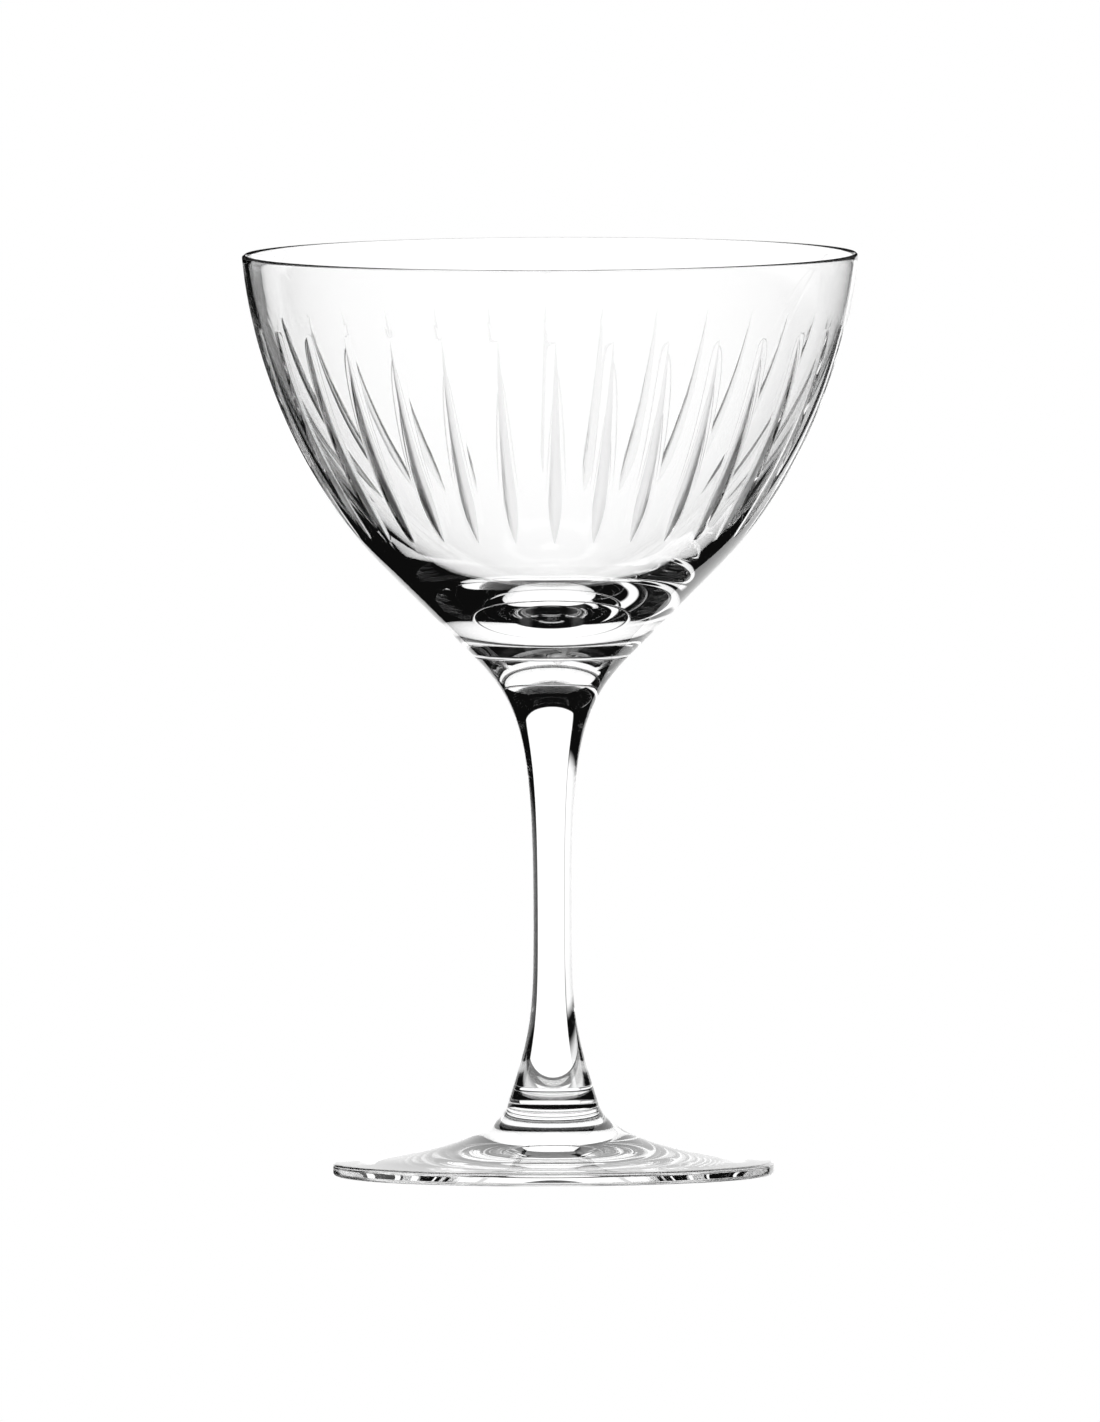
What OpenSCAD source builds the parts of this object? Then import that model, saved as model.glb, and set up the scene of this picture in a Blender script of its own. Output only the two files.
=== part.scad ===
// Martini glass with a tulip bowl and ground upright cuts.
// Three pieces of glass, fused end to end: a bowl, a solid stem and a foot.
// Millimetres, +Z up, origin at the middle of the circle that the foot rests on.

/* [Overall] */
// Height from the table to the crest of the rim
height = 142; // [140:0.5:146]
// Outer diameter of the rim
rim_d = 95; // [92:0.5:98]
// Diameter of the foot
foot_d = 68; // [60:0.5:76]

/* [Bowl] */
// Thickness of the wall at the rim
rim_wall = 0.9; // [0.8:0.1:1.8]
// Thickness of the wall at the shoulder, where it turns into the lower cone
shoulder_wall = 3.6; // [2.4:0.1:4]
// Lean of the wall at the rim, from the vertical
rim_lean = 5; // [2:0.5:8]
// Lean of the lower cone, from the vertical
cone_lean = 45; // [43:0.5:47]
// Outer diameter at the shoulder
shoulder_d = 52; // [50:0.5:54]
// Height of the shoulder above the table
shoulder_z = 94; // [93:0.5:95]
// Height of the lowest point of the inside
inside_z = 87; // [86.5:0.5:89]
// Lean of the inside of the wall at the shoulder, from the vertical
inside_lean = 50; // [46:0.5:52]

/* [Cuts] */
// Number of ground cuts round the bowl
cut_count = 32; // [16:1:36]
// Turn of the first cut from the +X axis, in degrees
cut_turn = 1; // [0:0.5:11]
// Where a cut starts, as a share of the wall's curve from the rim
cut_from = 0.22; // [0.18:0.01:0.3]
// Where a cut ends, as a share of the wall's curve from the rim
cut_to = 0.885; // [0.86:0.005:0.9]
// Radius of the path that the edge of the cutting wheel follows
cut_path_r = 115; // [105:1:125]
// Half of the angle of the wheel's sharp edge
wheel_edge = 62; // [50:1:66]

/* [Stem] */
// Height of the weld between the stem and the bowl
bowl_weld_z = 80; // [79:0.5:82]
// Diameter of the stem where it is thinnest
stem_d = 5.9; // [5:0.1:8]
// Height of the thinnest place
waist_z = 40; // [36:1:46]
// Diameter of the stem at the weld with the foot
ankle_d = 13.8; // [12:0.1:16]

/* [Foot] */
// Height of the weld between the foot and the stem
foot_weld_z = 11.3; // [10.5:0.1:13]
// Thickness of the foot at its edge
edge_t = 2; // [1.6:0.1:2.4]
// Width of the flat ring that the foot rests on
rest_w = 4; // [3:0.5:6]
// Height of the hollow under the middle of the foot
hollow_h = 1.2; // [0.6:0.1:2]

/* [Hidden] */
$fn = 128;

rim_r = rim_d / 2;
stem_r = stem_d / 2;
foot_r = foot_d / 2;
// Lengths of the curve handles: they set how soon each curve bends away from its end
rim_pull = 15;
shoulder_pull = 18.5;
inside_pull = 8.5;
floor_pull = 8.5;
neck_pull = 10.6;
waist_pull_up = 26.5;
waist_pull_down = 15;
ankle_pull = 12;
boss_pull = 4.8;
disc_pull = 15;
// Lean of the stem at the foot weld, of the boss below it, and of the disc at its edge
ankle_lean = 18;
boss_lean = 8;
disc_lean = 87;
// Roundings of the foot's edge
edge_top_r = 0.7;
edge_low_r = 0.6;
// Height of the wheel's edge in the cutter: more than a cut's depth
wheel_h = 3;
clear = 1;

// Point at a distance down a line that leans from the vertical, inwards where positive
function down(p, lean, len) = p - len * [sin(lean), cos(lean)];

// Cubic curve from a to d, which leaves along a-b and arrives along c-d
function at(a, b, c, d, t) =
    pow(1 - t, 3) * a + 3 * t * pow(1 - t, 2) * b + 3 * t * t * (1 - t) * c + pow(t, 3) * d;
function curve(a, b, c, d, n) = [for (i = [0:n]) at(a, b, c, d, i / n)];
function arc(centre, r, from, to, n) =
    [for (i = [0:n]) let (u = from + (to - from) * i / n) centre + r * [cos(u), sin(u)]];

// Outer wall: from the lip, down to the shoulder
lip_r = rim_wall / 2;
lip_c = [rim_r - lip_r, height - lip_r];
lip_out = lip_c + lip_r * [cos(rim_lean), -sin(rim_lean)];
lip_in = lip_c - lip_r * [cos(rim_lean), -sin(rim_lean)];
shoulder = [shoulder_d / 2, shoulder_z];
wall_b = down(lip_out, rim_lean, rim_pull);
wall_c = down(shoulder, cone_lean, -shoulder_pull);
function wall_at(t) = at(lip_out, wall_b, wall_c, shoulder, t);

// The bowl ends at the weld, on the cone
bowl_weld_r = shoulder.x - (shoulder_z - bowl_weld_z) * tan(cone_lean);

// Inner wall: from the lip to the inner shoulder, then round to the middle
inner = shoulder - shoulder_wall * [cos(cone_lean), -sin(cone_lean)];

module bowl() {
    color([0.86, 0.9, 0.92, 0.5])
        difference() {
            rotate_extrude()
                polygon(concat(
                    [[0, bowl_weld_z], [bowl_weld_r, bowl_weld_z]],
                    [for (i = [20:-1:1]) wall_at(i / 20)],
                    arc(lip_c, lip_r, -rim_lean, 180 - rim_lean, 8),
                    [for (i = [1:18]) at(lip_in, down(lip_in, rim_lean, rim_pull),
                        down(inner, inside_lean, -shoulder_pull), inner, i / 18)],
                    [for (i = [1:10]) at(inner, down(inner, inside_lean, inside_pull),
                        [floor_pull, inside_z], [0, inside_z], i / 10)]));
            for (i = [0:cut_count - 1])
                rotate([0, 0, cut_turn + i * 360 / cut_count])
                    cut();
        }
}

// One sweep of the cutting wheel, in the plane of +X and +Z. The path is an arc through two
// points of the outer wall, flatter than the wall, so the cut fades out at both ends.
module cut() {
    top = wall_at(cut_from);
    low = wall_at(cut_to);
    chord = top - low;
    half = norm(chord) / 2;
    rise = atan2(chord.y, chord.x);
    centre = (top + low) / 2 + sqrt(cut_path_r * cut_path_r - half * half) * [-sin(rise), cos(rise)];
    sweep = 2 * asin((half + clear) / cut_path_r);
    translate([centre.x, 0, centre.y])
        rotate([90, 0, 0])
            rotate([0, 0, rise - 90 - sweep / 2])
                rotate_extrude(angle = sweep)
                    polygon([
                        [cut_path_r, 0],
                        [cut_path_r + wheel_h, wheel_h * tan(wheel_edge)],
                        [cut_path_r + wheel_h, -wheel_h * tan(wheel_edge)]]);
}

module stem() {
    neck = [bowl_weld_r, bowl_weld_z];
    waist = [stem_r, waist_z];
    ankle = [ankle_d / 2, foot_weld_z];
    color([0.88, 0.91, 0.93, 0.5])
        rotate_extrude()
            polygon(concat(
                [[0, foot_weld_z]],
                curve(ankle, down(ankle, -ankle_lean, -ankle_pull),
                    down(waist, 0, waist_pull_down), waist, 16),
                [for (i = [1:20]) at(waist, down(waist, 0, -waist_pull_up),
                    down(neck, cone_lean, neck_pull), neck, i / 20)],
                [[0, bowl_weld_z]]));
}

module foot() {
    boss = [ankle_d / 2, foot_weld_z];
    top_c = [foot_r - edge_top_r, edge_t - edge_top_r];
    low_c = [foot_r - edge_low_r, edge_low_r];
    disc = top_c + edge_top_r * [cos(disc_lean), sin(disc_lean)];
    ring_r = foot_r - edge_low_r - rest_w;
    color([0.85, 0.89, 0.91, 0.5])
        rotate_extrude()
            polygon(concat(
                [[0, foot_weld_z]],
                curve(boss, down(boss, -boss_lean, boss_pull),
                    down(disc, -disc_lean, -disc_pull), disc, 20),
                [for (i = [1:5]) let (u = disc_lean * (1 - i / 5)) top_c + edge_top_r * [cos(u), sin(u)]],
                arc(low_c, edge_low_r, 0, -90, 5),
                [for (i = [0:12]) let (s = 1 - i / 12) [ring_r * s, hollow_h * (1 - s * s)]]));
}

bowl();
stem();
foot();
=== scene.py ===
"""Martini glass: three fused pieces of clear crystal, with ground cuts round the bowl."""

import math

import bpy
import numpy as np
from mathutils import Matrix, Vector


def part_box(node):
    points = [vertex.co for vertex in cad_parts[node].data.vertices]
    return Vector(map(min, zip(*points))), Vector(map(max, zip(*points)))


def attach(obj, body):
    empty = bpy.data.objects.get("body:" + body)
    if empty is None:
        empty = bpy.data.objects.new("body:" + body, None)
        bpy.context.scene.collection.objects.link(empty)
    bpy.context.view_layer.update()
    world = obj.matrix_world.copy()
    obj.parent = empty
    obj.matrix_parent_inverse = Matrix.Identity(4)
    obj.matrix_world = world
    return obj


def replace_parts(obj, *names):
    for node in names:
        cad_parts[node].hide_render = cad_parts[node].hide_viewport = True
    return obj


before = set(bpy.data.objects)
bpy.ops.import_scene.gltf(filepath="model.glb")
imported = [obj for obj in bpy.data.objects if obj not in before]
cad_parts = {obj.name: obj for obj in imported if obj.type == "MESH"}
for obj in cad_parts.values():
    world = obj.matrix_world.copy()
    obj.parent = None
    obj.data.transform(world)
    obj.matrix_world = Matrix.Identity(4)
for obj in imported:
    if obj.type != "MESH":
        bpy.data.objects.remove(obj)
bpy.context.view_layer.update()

MM = 0.001

# ---- sizes from the frame -------------------------------------------------------------------

bowl_low, bowl_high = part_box("bowl")
stem_low, stem_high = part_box("stem")
foot_low, foot_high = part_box("foot")


def radius_of(low, high):
    """The radius that fits inside a round node's box on every side."""
    return min(high.x, high.y, -low.x, -low.y)


RIM_R = radius_of(bowl_low, bowl_high)
FOOT_R = radius_of(foot_low, foot_high)
TOP_Z = bowl_high.z
BOWL_WELD_Z = stem_high.z
FOOT_WELD_Z = foot_high.z

# ---- sizes of the design, as in the CAD model -----------------------------------------------

RIM_WALL = 0.9 * MM
RIM_LEAN = math.radians(5)
RIM_PULL = 15 * MM
SHOULDER = np.array([26.0, 94.0]) * MM
CONE_LEAN = math.radians(45)
SHOULDER_PULL = 18.5 * MM
SHOULDER_WALL = 3.6 * MM
INSIDE_LEAN = math.radians(50)
INSIDE_Z = 87 * MM
INSIDE_PULL = 8.5 * MM
FLOOR_PULL = 8.5 * MM
WAIST = np.array([2.95, 40.0]) * MM
WAIST_PULL_UP = 26.5 * MM
WAIST_PULL_DOWN = 15 * MM
NECK_PULL = 10.6 * MM
ANKLE_R = 6.9 * MM
ANKLE_LEAN = math.radians(18)
ANKLE_PULL = 12 * MM
BOSS_LEAN = math.radians(8)
BOSS_PULL = 4.8 * MM
DISC_LEAN = math.radians(87)
DISC_PULL = 15 * MM
EDGE_T = 2 * MM
EDGE_TOP_R = 0.7 * MM
EDGE_LOW_R = 0.6 * MM
REST_W = 4 * MM
HOLLOW_H = 1.2 * MM

CUT_COUNT = 32
CUT_TURN = math.radians(1)
CUT_TOP_Z = 131 * MM
CUT_LOW_Z = 98.9 * MM
CUT_WIDE_Z = 106 * MM
CUT_WIDTH = 2.1 * MM
CUT_DEPTH = 0.4 * MM
CUT_DEEPENING = 1.5
NEEDLE = 0.85
POINT = 0.8

GLASS_IOR = 1.52
# The slight roll of the polished surface.
ROLL_SCALE = 90
ROLL_HEIGHT = 0.004 * MM
# The finish that the wheel leaves: streaks run along the cut, and the cut glass is tinted a little
# grey, a painted shade that darkens the cuts.
CUT_PAINTED_SHADE = 0.88
CUT_ROUGHNESS = 0.32
STREAK_W = 0.25 * MM
STREAK_L = 6 * MM
STREAK_HEIGHT = 0.05 * MM


# ---- curves ---------------------------------------------------------------------------------


def down(point, lean, length):
    """A point further down a line that leans inwards from the vertical."""
    return point - length * np.array([math.sin(lean), math.cos(lean)])


def curve(a, b, c, d, count):
    """A cubic curve from a to d, as count + 1 points."""
    t = np.linspace(0, 1, count + 1)[:, None]
    return (1 - t) ** 3 * a + 3 * t * (1 - t) ** 2 * b + 3 * t * t * (1 - t) * c + t**3 * d


def arc(centre, radius, start, end, count):
    """An arc from one angle to another, in degrees, as count + 1 points."""
    u = np.radians(np.linspace(start, end, count + 1))
    return np.array(centre) + radius * np.column_stack([np.cos(u), np.sin(u)])


def line(a, b, count):
    """A straight line as count + 1 points."""
    t = np.linspace(0, 1, count + 1)[:, None]
    return (1 - t) * np.array(a) + t * np.array(b)


def join(*parts):
    """Joins stretches of outline, each starting where the last one ends."""
    return np.vstack([parts[0]] + [part[1:] for part in parts[1:]])


def bowl_outside():
    """The outer wall from the weld up to the lip."""
    lip_r = RIM_WALL / 2
    lip = np.array([RIM_R - lip_r, TOP_Z - lip_r])
    side = lip_r * np.array([math.cos(RIM_LEAN), -math.sin(RIM_LEAN)])
    weld_r = SHOULDER[0] - (SHOULDER[1] - BOWL_WELD_Z) * math.tan(CONE_LEAN)
    wall = curve(
        lip + side, down(lip + side, RIM_LEAN, RIM_PULL),
        down(SHOULDER, CONE_LEAN, -SHOULDER_PULL), SHOULDER, 150)
    return join(line((weld_r, BOWL_WELD_Z), SHOULDER, 30), wall[::-1])


def bowl_inside():
    """The lip and the inner wall, from the lip's outer side to the middle of the floor."""
    lip_r = RIM_WALL / 2
    lip = np.array([RIM_R - lip_r, TOP_Z - lip_r])
    lean = math.degrees(RIM_LEAN)
    over = arc(lip, lip_r, -lean, 180 - lean, 16)
    inner = SHOULDER + SHOULDER_WALL * np.array([-math.cos(CONE_LEAN), math.sin(CONE_LEAN)])
    wall = curve(
        over[-1], down(over[-1], RIM_LEAN, RIM_PULL),
        down(inner, INSIDE_LEAN, -SHOULDER_PULL), inner, 60)
    floor = curve(
        inner, down(inner, INSIDE_LEAN, INSIDE_PULL),
        np.array([FLOOR_PULL, INSIDE_Z]), np.array([0, INSIDE_Z]), 40)
    return join(over, wall, floor)


def stem_outline():
    """The stem from the weld with the foot up to the weld with the bowl."""
    ankle = np.array([ANKLE_R, FOOT_WELD_Z])
    weld_r = SHOULDER[0] - (SHOULDER[1] - BOWL_WELD_Z) * math.tan(CONE_LEAN)
    neck = np.array([weld_r, BOWL_WELD_Z])
    lower = curve(
        ankle, down(ankle, -ANKLE_LEAN, -ANKLE_PULL), down(WAIST, 0, WAIST_PULL_DOWN), WAIST, 60)
    upper = curve(
        WAIST, down(WAIST, 0, -WAIST_PULL_UP), down(neck, CONE_LEAN, NECK_PULL), neck, 90)
    return join(lower, upper)


def foot_outline():
    """The foot from the boss, over the disc and round its edge, to the middle underneath."""
    boss = np.array([ANKLE_R, FOOT_WELD_Z])
    top_c = np.array([FOOT_R - EDGE_TOP_R, EDGE_T - EDGE_TOP_R])
    low_c = np.array([FOOT_R - EDGE_LOW_R, EDGE_LOW_R])
    lean = math.degrees(DISC_LEAN)
    edge = arc(top_c, EDGE_TOP_R, lean, 0, 12)
    disc = edge[0]
    top = curve(
        boss, down(boss, -BOSS_LEAN, BOSS_PULL), down(disc, -DISC_LEAN, -DISC_PULL), disc, 60)
    under = arc(low_c, EDGE_LOW_R, 0, -90, 12)
    ring_r = FOOT_R - EDGE_LOW_R - REST_W
    rest = line((FOOT_R - EDGE_LOW_R, 0), (ring_r, 0), 4)
    share = np.linspace(1, 0, 31)
    hollow = np.column_stack([ring_r * share, HOLLOW_H * (1 - share**2)])
    return join(top, edge, np.vstack([edge[-1], under[:1]]), under, rest, hollow)


# ---- meshes ---------------------------------------------------------------------------------

CLEAR, GROUND, WELD = 0, 1, 2


def make_piece(name, points, faces, materials, slots):
    """A mesh object that rides on the frame's only body."""
    mesh = bpy.data.meshes.new(name)
    mesh.from_pydata(points.tolist(), [], faces)
    for material in materials:
        mesh.materials.append(material)
    mesh.polygons.foreach_set("material_index", np.array(slots, dtype=np.int32))
    mesh.shade_smooth()
    mesh.update()
    piece = bpy.data.objects.new(name, mesh)
    bpy.context.scene.collection.objects.link(piece)
    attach(piece, "root")
    return piece


def turn(rows, angles):
    """The grid of points where each (r, z) row stands at each row's own angles."""
    r = rows[:, 0][:, None]
    z = np.repeat(rows[:, 1][:, None], angles.shape[1], axis=1)
    return np.stack([r * np.cos(angles), r * np.sin(angles), z], axis=2)


def grid_faces(row_count, column_count, first=0):
    """Quads between the rows of a grid that closes on itself."""
    faces = []
    for i in range(row_count - 1):
        a = first + i * column_count
        b = a + column_count
        for j in range(column_count):
            k = (j + 1) % column_count
            faces.append((a + j, a + k, b + k, b + j))
    return faces


def fan(ring, middle, flip):
    """Triangles from a ring of points to one in its middle."""
    count = len(ring)
    turns = [(ring[j], ring[(j + 1) % count], middle) for j in range(count)]
    return [(b, a, c) for a, b, c in turns] if flip else turns


def solid_of_turning(name, outline, columns, materials, low_cap, high_cap):
    """A closed solid turned from an outline that runs from one end to the other.

    A cap is None where the outline ends on the axis, or else the slot of the flat face there.
    """
    angles = np.tile(np.linspace(0, 2 * math.pi, columns, endpoint=False), (len(outline), 1))
    points = turn(outline, angles).reshape(-1, 3)
    return close_grid(name, points, len(outline), columns, outline, materials, low_cap, high_cap)


def close_grid(name, points, rows, columns, outline, materials, low_cap, high_cap, marks=None):
    """Closes a turned grid at both ends and makes the piece."""
    faces = grid_faces(rows, columns)
    slots = [CLEAR] * len(faces) if marks is None else list(marks)
    up = outline[-1][1] > outline[0][1]
    for end, cap in ((0, low_cap), (rows - 1, high_cap)):
        points = np.vstack([points, [0, 0, outline[end][1]]])
        ring = [end * columns + j for j in range(columns)]
        faces += fan(ring, len(points) - 1, end == 0)
        slots += [cap if cap is not None else CLEAR] * columns
    if not up:
        faces = [face[::-1] for face in faces]
    return make_piece(name, points, faces, materials, slots)


# ---- materials ------------------------------------------------------------------------------


def new_material(name):
    material = bpy.data.materials.new(name)
    material.use_nodes = True
    material.node_tree.nodes.clear()
    return material, material.node_tree


def add(tree, kind, **values):
    """A node with some of its inputs set."""
    node = tree.nodes.new(kind)
    for key, value in values.items():
        node.inputs[key.replace("_", " ")].default_value = value
    return node


def relief(tree, pattern, strength, height):
    """Turns a pattern into a slight relief of the surface."""
    bump = add(tree, "ShaderNodeBump", Strength=strength, Distance=height)
    tree.links.new(pattern, bump.inputs["Height"])
    return bump.outputs["Normal"]


def crystal(name, shade, roughness):
    """Glass without a hue that takes a relief, as its material, nodes and shader."""
    material, tree = new_material(name)
    # A shade below 1 greys the glass's colour; for the cuts this is painted shade.
    glass = add(
        tree, "ShaderNodeBsdfPrincipled", Base_Color=(shade, shade, shade, 1),
        Roughness=roughness, IOR=GLASS_IOR, Transmission_Weight=1.0)
    out = tree.nodes.new("ShaderNodeOutputMaterial")
    tree.links.new(glass.outputs[0], out.inputs[0])
    return material, tree, glass


def clear_glass():
    """Fire-polished crystal, whose surface rolls very slightly."""
    material, tree, glass = crystal("clear_crystal", 1.0, 0.0)
    place = tree.nodes.new("ShaderNodeTexCoord")
    rolls = add(tree, "ShaderNodeTexNoise", Scale=ROLL_SCALE, Detail=1.0)
    tree.links.new(place.outputs["Object"], rolls.inputs["Vector"])
    tree.links.new(relief(tree, rolls.outputs[0], 1.0, ROLL_HEIGHT), glass.inputs["Normal"])
    return material


def ground_glass():
    """The satin surface that the cutting wheel leaves, with its streaks along the cut, and a
    painted shade that greys it.
    """
    material, tree, glass = crystal("ground_crystal_painted_shade", CUT_PAINTED_SHADE, CUT_ROUGHNESS)
    place = tree.nodes.new("ShaderNodeTexCoord")
    parts = tree.nodes.new("ShaderNodeSeparateXYZ")
    tree.links.new(place.outputs["Object"], parts.inputs[0])
    angle = math_node(tree, "ARCTAN2", parts.outputs["Y"], parts.outputs["X"])
    spot = tree.nodes.new("ShaderNodeCombineXYZ")
    tree.links.new(math_node(tree, "MULTIPLY", angle, RIM_R / STREAK_W), spot.inputs["X"])
    tree.links.new(math_node(tree, "MULTIPLY", parts.outputs["Z"], 1 / STREAK_L), spot.inputs["Y"])
    streaks = add(tree, "ShaderNodeTexNoise", Scale=1.0, Detail=2.0)
    tree.links.new(spot.outputs[0], streaks.inputs["Vector"])
    tree.links.new(relief(tree, streaks.outputs[0], 1.0, STREAK_HEIGHT), glass.inputs["Normal"])
    return material


def weld_face():
    """The face between two fused pieces, where the glass runs through without a break."""
    material, tree = new_material("fused_face")
    clear = tree.nodes.new("ShaderNodeBsdfTransparent")
    out = tree.nodes.new("ShaderNodeOutputMaterial")
    tree.links.new(clear.outputs[0], out.inputs[0])
    return material


# ---- the three pieces -----------------------------------------------------------------------


def cut_width(z):
    """The width of a cut at a height: a long needle above, a short point below."""
    up = np.clip((CUT_TOP_Z - z) / (CUT_TOP_Z - CUT_WIDE_Z), 0, 1)
    low = np.clip((z - CUT_LOW_Z) / (CUT_WIDE_Z - CUT_LOW_Z), 0, 1)
    needle = up**NEEDLE
    point = np.sin(low * math.pi / 2) ** POINT
    return CUT_WIDTH * needle * point


CUT_COLUMNS = 12
LAND_COLUMNS = 6
THINNEST = 0.01 * MM
CUT_SPREAD = 4 * MM
CUT_HOLLOW = 1.6


def bowl_points():
    """The bowl's grid of points, its outline, and which of its faces the wheel has ground."""
    outside = bowl_outside()
    rows = join(outside, bowl_inside())[:-1]
    per_cut = CUT_COLUMNS + LAND_COLUMNS
    sector = 2 * math.pi / CUT_COUNT
    even = CUT_COLUMNS / per_cut * sector / 2
    across = np.linspace(-1, 1, CUT_COLUMNS + 1)
    land = np.linspace(0, 1, LAND_COLUMNS + 1)[1:-1]
    points = np.zeros((len(rows), per_cut * CUT_COUNT, 3))
    ground = np.zeros((len(rows) - 1, per_cut * CUT_COUNT), dtype=bool)
    tangent = np.gradient(outside, axis=0)
    tangent /= np.linalg.norm(tangent, axis=1)[:, None]
    normal = np.column_stack([tangent[:, 1], -tangent[:, 0]])
    for i, (r, z) in enumerate(rows):
        on_wall = i < len(outside)
        width = float(cut_width(z)) if on_wall else 0.0
        beyond = max(z - CUT_TOP_Z, CUT_LOW_Z - z, 0) if on_wall else CUT_SPREAD
        ease = min(beyond / CUT_SPREAD, 1) ** 2
        half = max(width, THINNEST) / 2 / max(r, MM) * (1 - ease) + even * ease
        hollow = 1 - np.abs(across) ** CUT_HOLLOW
        depth = CUT_DEPTH * (width / CUT_WIDTH) ** CUT_DEEPENING * hollow
        sink = np.concatenate([depth, np.zeros(len(land))])
        for k in range(CUT_COUNT):
            middle = CUT_TURN + k * sector
            gap = sector - 2 * half
            angles = np.concatenate([middle + across * half, middle + half + land * gap])
            rr, zz = np.full(len(angles), r), np.full(len(angles), z)
            if on_wall:
                rr, zz = r - sink * normal[i, 0], z - sink * normal[i, 1]
            place = slice(k * per_cut, (k + 1) * per_cut)
            points[i, place] = np.column_stack([rr * np.cos(angles), rr * np.sin(angles), zz])
            if width > 0 and cut_width(rows[i + 1, 1]) > 0:
                ground[i, k * per_cut : k * per_cut + CUT_COLUMNS] = True
    return points, rows, ground


def make_bowl(materials):
    points, rows, ground = bowl_points()
    marks = np.where(ground, GROUND, CLEAR)
    piece = close_grid(
        "bowl_glass", points.reshape(-1, 3), len(rows), points.shape[1], rows,
        materials, WELD, None, marks.ravel())
    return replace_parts(piece, "bowl")


def make_stem(materials):
    piece = solid_of_turning("stem_glass", stem_outline(), 192, materials, WELD, WELD)
    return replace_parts(piece, "stem")


def make_foot(materials):
    piece = solid_of_turning("foot_glass", foot_outline()[:-1], 256, materials, WELD, None)
    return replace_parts(piece, "foot")


# ---- stage ----------------------------------------------------------------------------------


FLOOR_R = 0.5
FLOOR_SIDES = 96
# The ring under the foot where the floor lights the glass, and how much of its light is taken.
GLOW_IN = 20 * MM
GLOW_OUT = 27 * MM
GLOW_SOFT = 4 * MM
GLOW_SHARE = 0.7


def make_floor():
    """A plain white floor, white to the camera. The glass only picks up a ring under its foot."""
    turns = np.linspace(0, 2 * math.pi, FLOOR_SIDES, endpoint=False)
    rim = [(FLOOR_R * math.cos(a), FLOOR_R * math.sin(a), 0) for a in turns]
    mesh = bpy.data.meshes.new("floor")
    mesh.from_pydata(rim, [], [tuple(range(FLOOR_SIDES))])
    floor = bpy.data.objects.new("floor", mesh)
    bpy.context.scene.collection.objects.link(floor)
    material, tree = new_material("floor_white")
    glow = add(tree, "ShaderNodeEmission", Strength=1.0)
    clear = tree.nodes.new("ShaderNodeBsdfTransparent")
    rays = tree.nodes.new("ShaderNodeLightPath")
    place = tree.nodes.new("ShaderNodeTexCoord")
    apart = tree.nodes.new("ShaderNodeVectorMath")
    apart.operation = "LENGTH"
    tree.links.new(place.outputs["Object"], apart.inputs[0])
    ring = window(tree, apart.outputs["Value"], GLOW_IN, GLOW_OUT, GLOW_SOFT)
    under = math_node(tree, "MULTIPLY", ring, GLOW_SHARE)
    mix = tree.nodes.new("ShaderNodeMixShader")
    out = tree.nodes.new("ShaderNodeOutputMaterial")
    shown = math_node(tree, "MAXIMUM", rays.outputs["Is Camera Ray"], under)
    tree.links.new(shown, mix.inputs[0])
    tree.links.new(clear.outputs[0], mix.inputs[1])
    tree.links.new(glow.outputs[0], mix.inputs[2])
    tree.links.new(mix.outputs[0], out.inputs[0])
    mesh.materials.append(material)


# Each patch of light round the glass: its lowest and highest azimuth, its lowest and highest
# elevation, all in degrees, how soft its edges are, and its brightness. Azimuth 0 is straight
# behind the glass as the camera sees it, and 90 is to its right.
LEFT_STRIP = (-105, -29, -6, 8, 4, 1.2)
# Panels that only light what is seen straight through the glass, and not what is thrown back
# inside it. They keep the bowl clear in the side and back views.
SIDE_PANELS = (
    (-120, -30, -12, 9, 5, 1.15),
    (-76, -24, -48, -22, 6, 1.0),
    (104, 166, -42, 18, 8, 1.0),
)
DARK = 0.004
BACKDROP = 1.0


def math_node(tree, operation, a, b=None):
    """A Math node on sockets or numbers; returns its result."""
    node = tree.nodes.new("ShaderNodeMath")
    node.operation = operation
    for socket, value in zip(node.inputs, (a, b)):
        if isinstance(value, (int, float)):
            socket.default_value = value
        elif value is not None:
            tree.links.new(value, socket)
    return node.outputs[0]


def smooth_step(tree, value, start, end):
    """Rises smoothly from 0 at start to 1 at end, or falls where end is below start."""
    node = tree.nodes.new("ShaderNodeMapRange")
    node.interpolation_type = "SMOOTHSTEP"
    tree.links.new(value, node.inputs["Value"])
    node.inputs["From Min"].default_value = start
    node.inputs["From Max"].default_value = end
    return node.outputs["Result"]


def window(tree, value, low, high, soft):
    """1 between two values, with soft edges, and 0 outside them."""
    rise = smooth_step(tree, value, low - soft / 2, low + soft / 2)
    fall = smooth_step(tree, value, high + soft / 2, high - soft / 2)
    return math_node(tree, "MULTIPLY", rise, fall)


def patch(tree, azimuth, elevation, left, right, low, high, soft):
    """A soft-edged rectangle of directions, in degrees."""
    left, right, low, high, soft = np.radians((left, right, low, high, soft))
    across = window(tree, azimuth, left, right, soft)
    upright = window(tree, elevation, low, high, soft)
    return math_node(tree, "MULTIPLY", across, upright)


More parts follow.
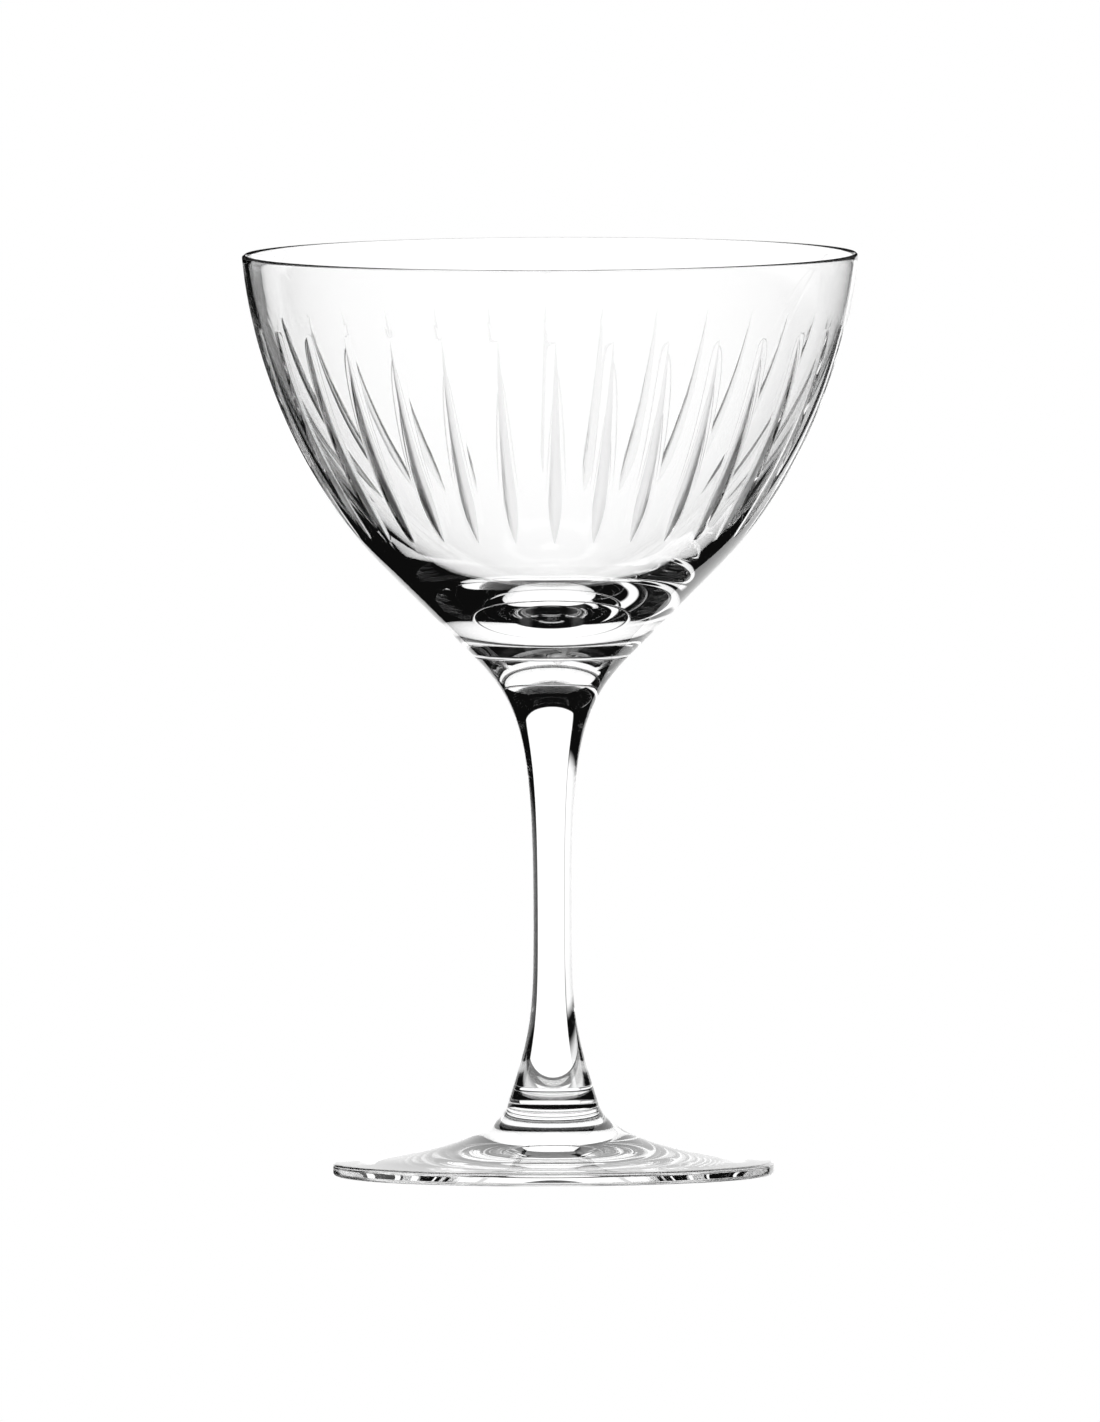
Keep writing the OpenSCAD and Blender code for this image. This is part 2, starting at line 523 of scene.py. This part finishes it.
def make_world():
    """A dark studio with light panels, whose backdrop is plain white to the camera."""
    world = bpy.data.worlds.new("studio")
    world.use_nodes = True
    bpy.context.scene.world = world
    tree = world.node_tree
    tree.nodes.clear()
    ways = tree.nodes.new("ShaderNodeTexCoord")
    parts = tree.nodes.new("ShaderNodeSeparateXYZ")
    tree.links.new(ways.outputs["Generated"], parts.inputs[0])
    azimuth = math_node(tree, "ARCTAN2", parts.outputs["X"], parts.outputs["Y"])
    elevation = math_node(tree, "ARCSINE", parts.outputs["Z"])
    rays = tree.nodes.new("ShaderNodeLightPath")
    straight = math_node(tree, "LESS_THAN", rays.outputs["Glossy Depth"], 0.5)
    *strip, power = LEFT_STRIP
    light = math_node(tree, "MULTIPLY", patch(tree, azimuth, elevation, *strip), power)
    for *place, power in SIDE_PANELS:
        shape = math_node(tree, "MULTIPLY", patch(tree, azimuth, elevation, *place), straight)
        light = math_node(tree, "MAXIMUM", light, math_node(tree, "MULTIPLY", shape, power))
    light = math_node(tree, "MAXIMUM", light, DARK)
    seen = tree.nodes.new("ShaderNodeMix")
    tree.links.new(rays.outputs["Is Camera Ray"], seen.inputs["Factor"])
    tree.links.new(light, seen.inputs["A"])
    seen.inputs["B"].default_value = BACKDROP
    background = tree.nodes.new("ShaderNodeBackground")
    tree.links.new(seen.outputs["Result"], background.inputs["Strength"])
    background.inputs["Color"].default_value = (1, 1, 1, 1)
    out = tree.nodes.new("ShaderNodeOutputWorld")
    tree.links.new(background.outputs[0], out.inputs[0])


# The light panel that stands close behind the glass: how far back, its sides and its ends.
CARD_Y = 105 * MM
CARD_SIDES = (-54 * MM, 84 * MM)
CARD_ENDS = (-50 * MM, 147 * MM)
CARD_SOFT = 5 * MM
CARD_POWER = 1.2


def make_card():
    """The soft panel of light close behind the glass, which only the glass picks up."""
    (left, right), (low, high) = CARD_SIDES, CARD_ENDS
    outline = ((left, low), (right, low), (right, high), (left, high))
    corners = [(x, CARD_Y, z) for x, z in outline]
    mesh = bpy.data.meshes.new("light_card")
    mesh.from_pydata(corners, [], [(0, 1, 2, 3)])
    card = bpy.data.objects.new("light_card", mesh)
    bpy.context.scene.collection.objects.link(card)
    material, tree = new_material("card_light")
    place = tree.nodes.new("ShaderNodeTexCoord")
    parts = tree.nodes.new("ShaderNodeSeparateXYZ")
    tree.links.new(place.outputs["Object"], parts.inputs[0])
    across = window(tree, parts.outputs["X"], left, right, CARD_SOFT)
    along = window(tree, parts.outputs["Z"], low, high, CARD_SOFT)
    shape = math_node(tree, "MULTIPLY", across, along)
    glow = tree.nodes.new("ShaderNodeEmission")
    tree.links.new(math_node(tree, "MULTIPLY", shape, CARD_POWER), glow.inputs["Strength"])
    out = tree.nodes.new("ShaderNodeOutputMaterial")
    tree.links.new(glow.outputs[0], out.inputs[0])
    mesh.materials.append(material)
    card.visible_camera = False
    card.visible_diffuse = False
    card.visible_shadow = False


CAMERA_ELEVATION = math.radians(3.1)
CAMERA_ROLL = math.radians(0.2)
CAMERA_DISTANCE = 1.0
VIEW_HEIGHT = 218.9 * MM
AIM = Vector((-0.28, 0, 71.5)) * MM


def make_camera():
    data = bpy.data.cameras.new("camera")
    data.type = "ORTHO"
    data.ortho_scale = VIEW_HEIGHT
    camera = bpy.data.objects.new("camera", data)
    back = Vector((0, -math.cos(CAMERA_ELEVATION), math.sin(CAMERA_ELEVATION)))
    camera.location = AIM + back * CAMERA_DISTANCE
    camera.rotation_euler = (math.pi / 2 - CAMERA_ELEVATION, 0, 0)
    camera.rotation_euler.rotate_axis("Z", -CAMERA_ROLL)
    bpy.context.scene.collection.objects.link(camera)
    bpy.context.scene.camera = camera


def set_look():
    scene = bpy.context.scene
    scene.view_settings.view_transform = "Standard"
    scene.cycles.max_bounces = 40
    scene.cycles.glossy_bounces = 40
    scene.cycles.transmission_bounces = 40
    scene.cycles.transparent_max_bounces = 24


glasses = [clear_glass(), ground_glass(), weld_face()]
make_bowl(glasses)
make_stem(glasses)
make_foot(glasses)
make_floor()
make_world()
make_card()
make_camera()
set_look()
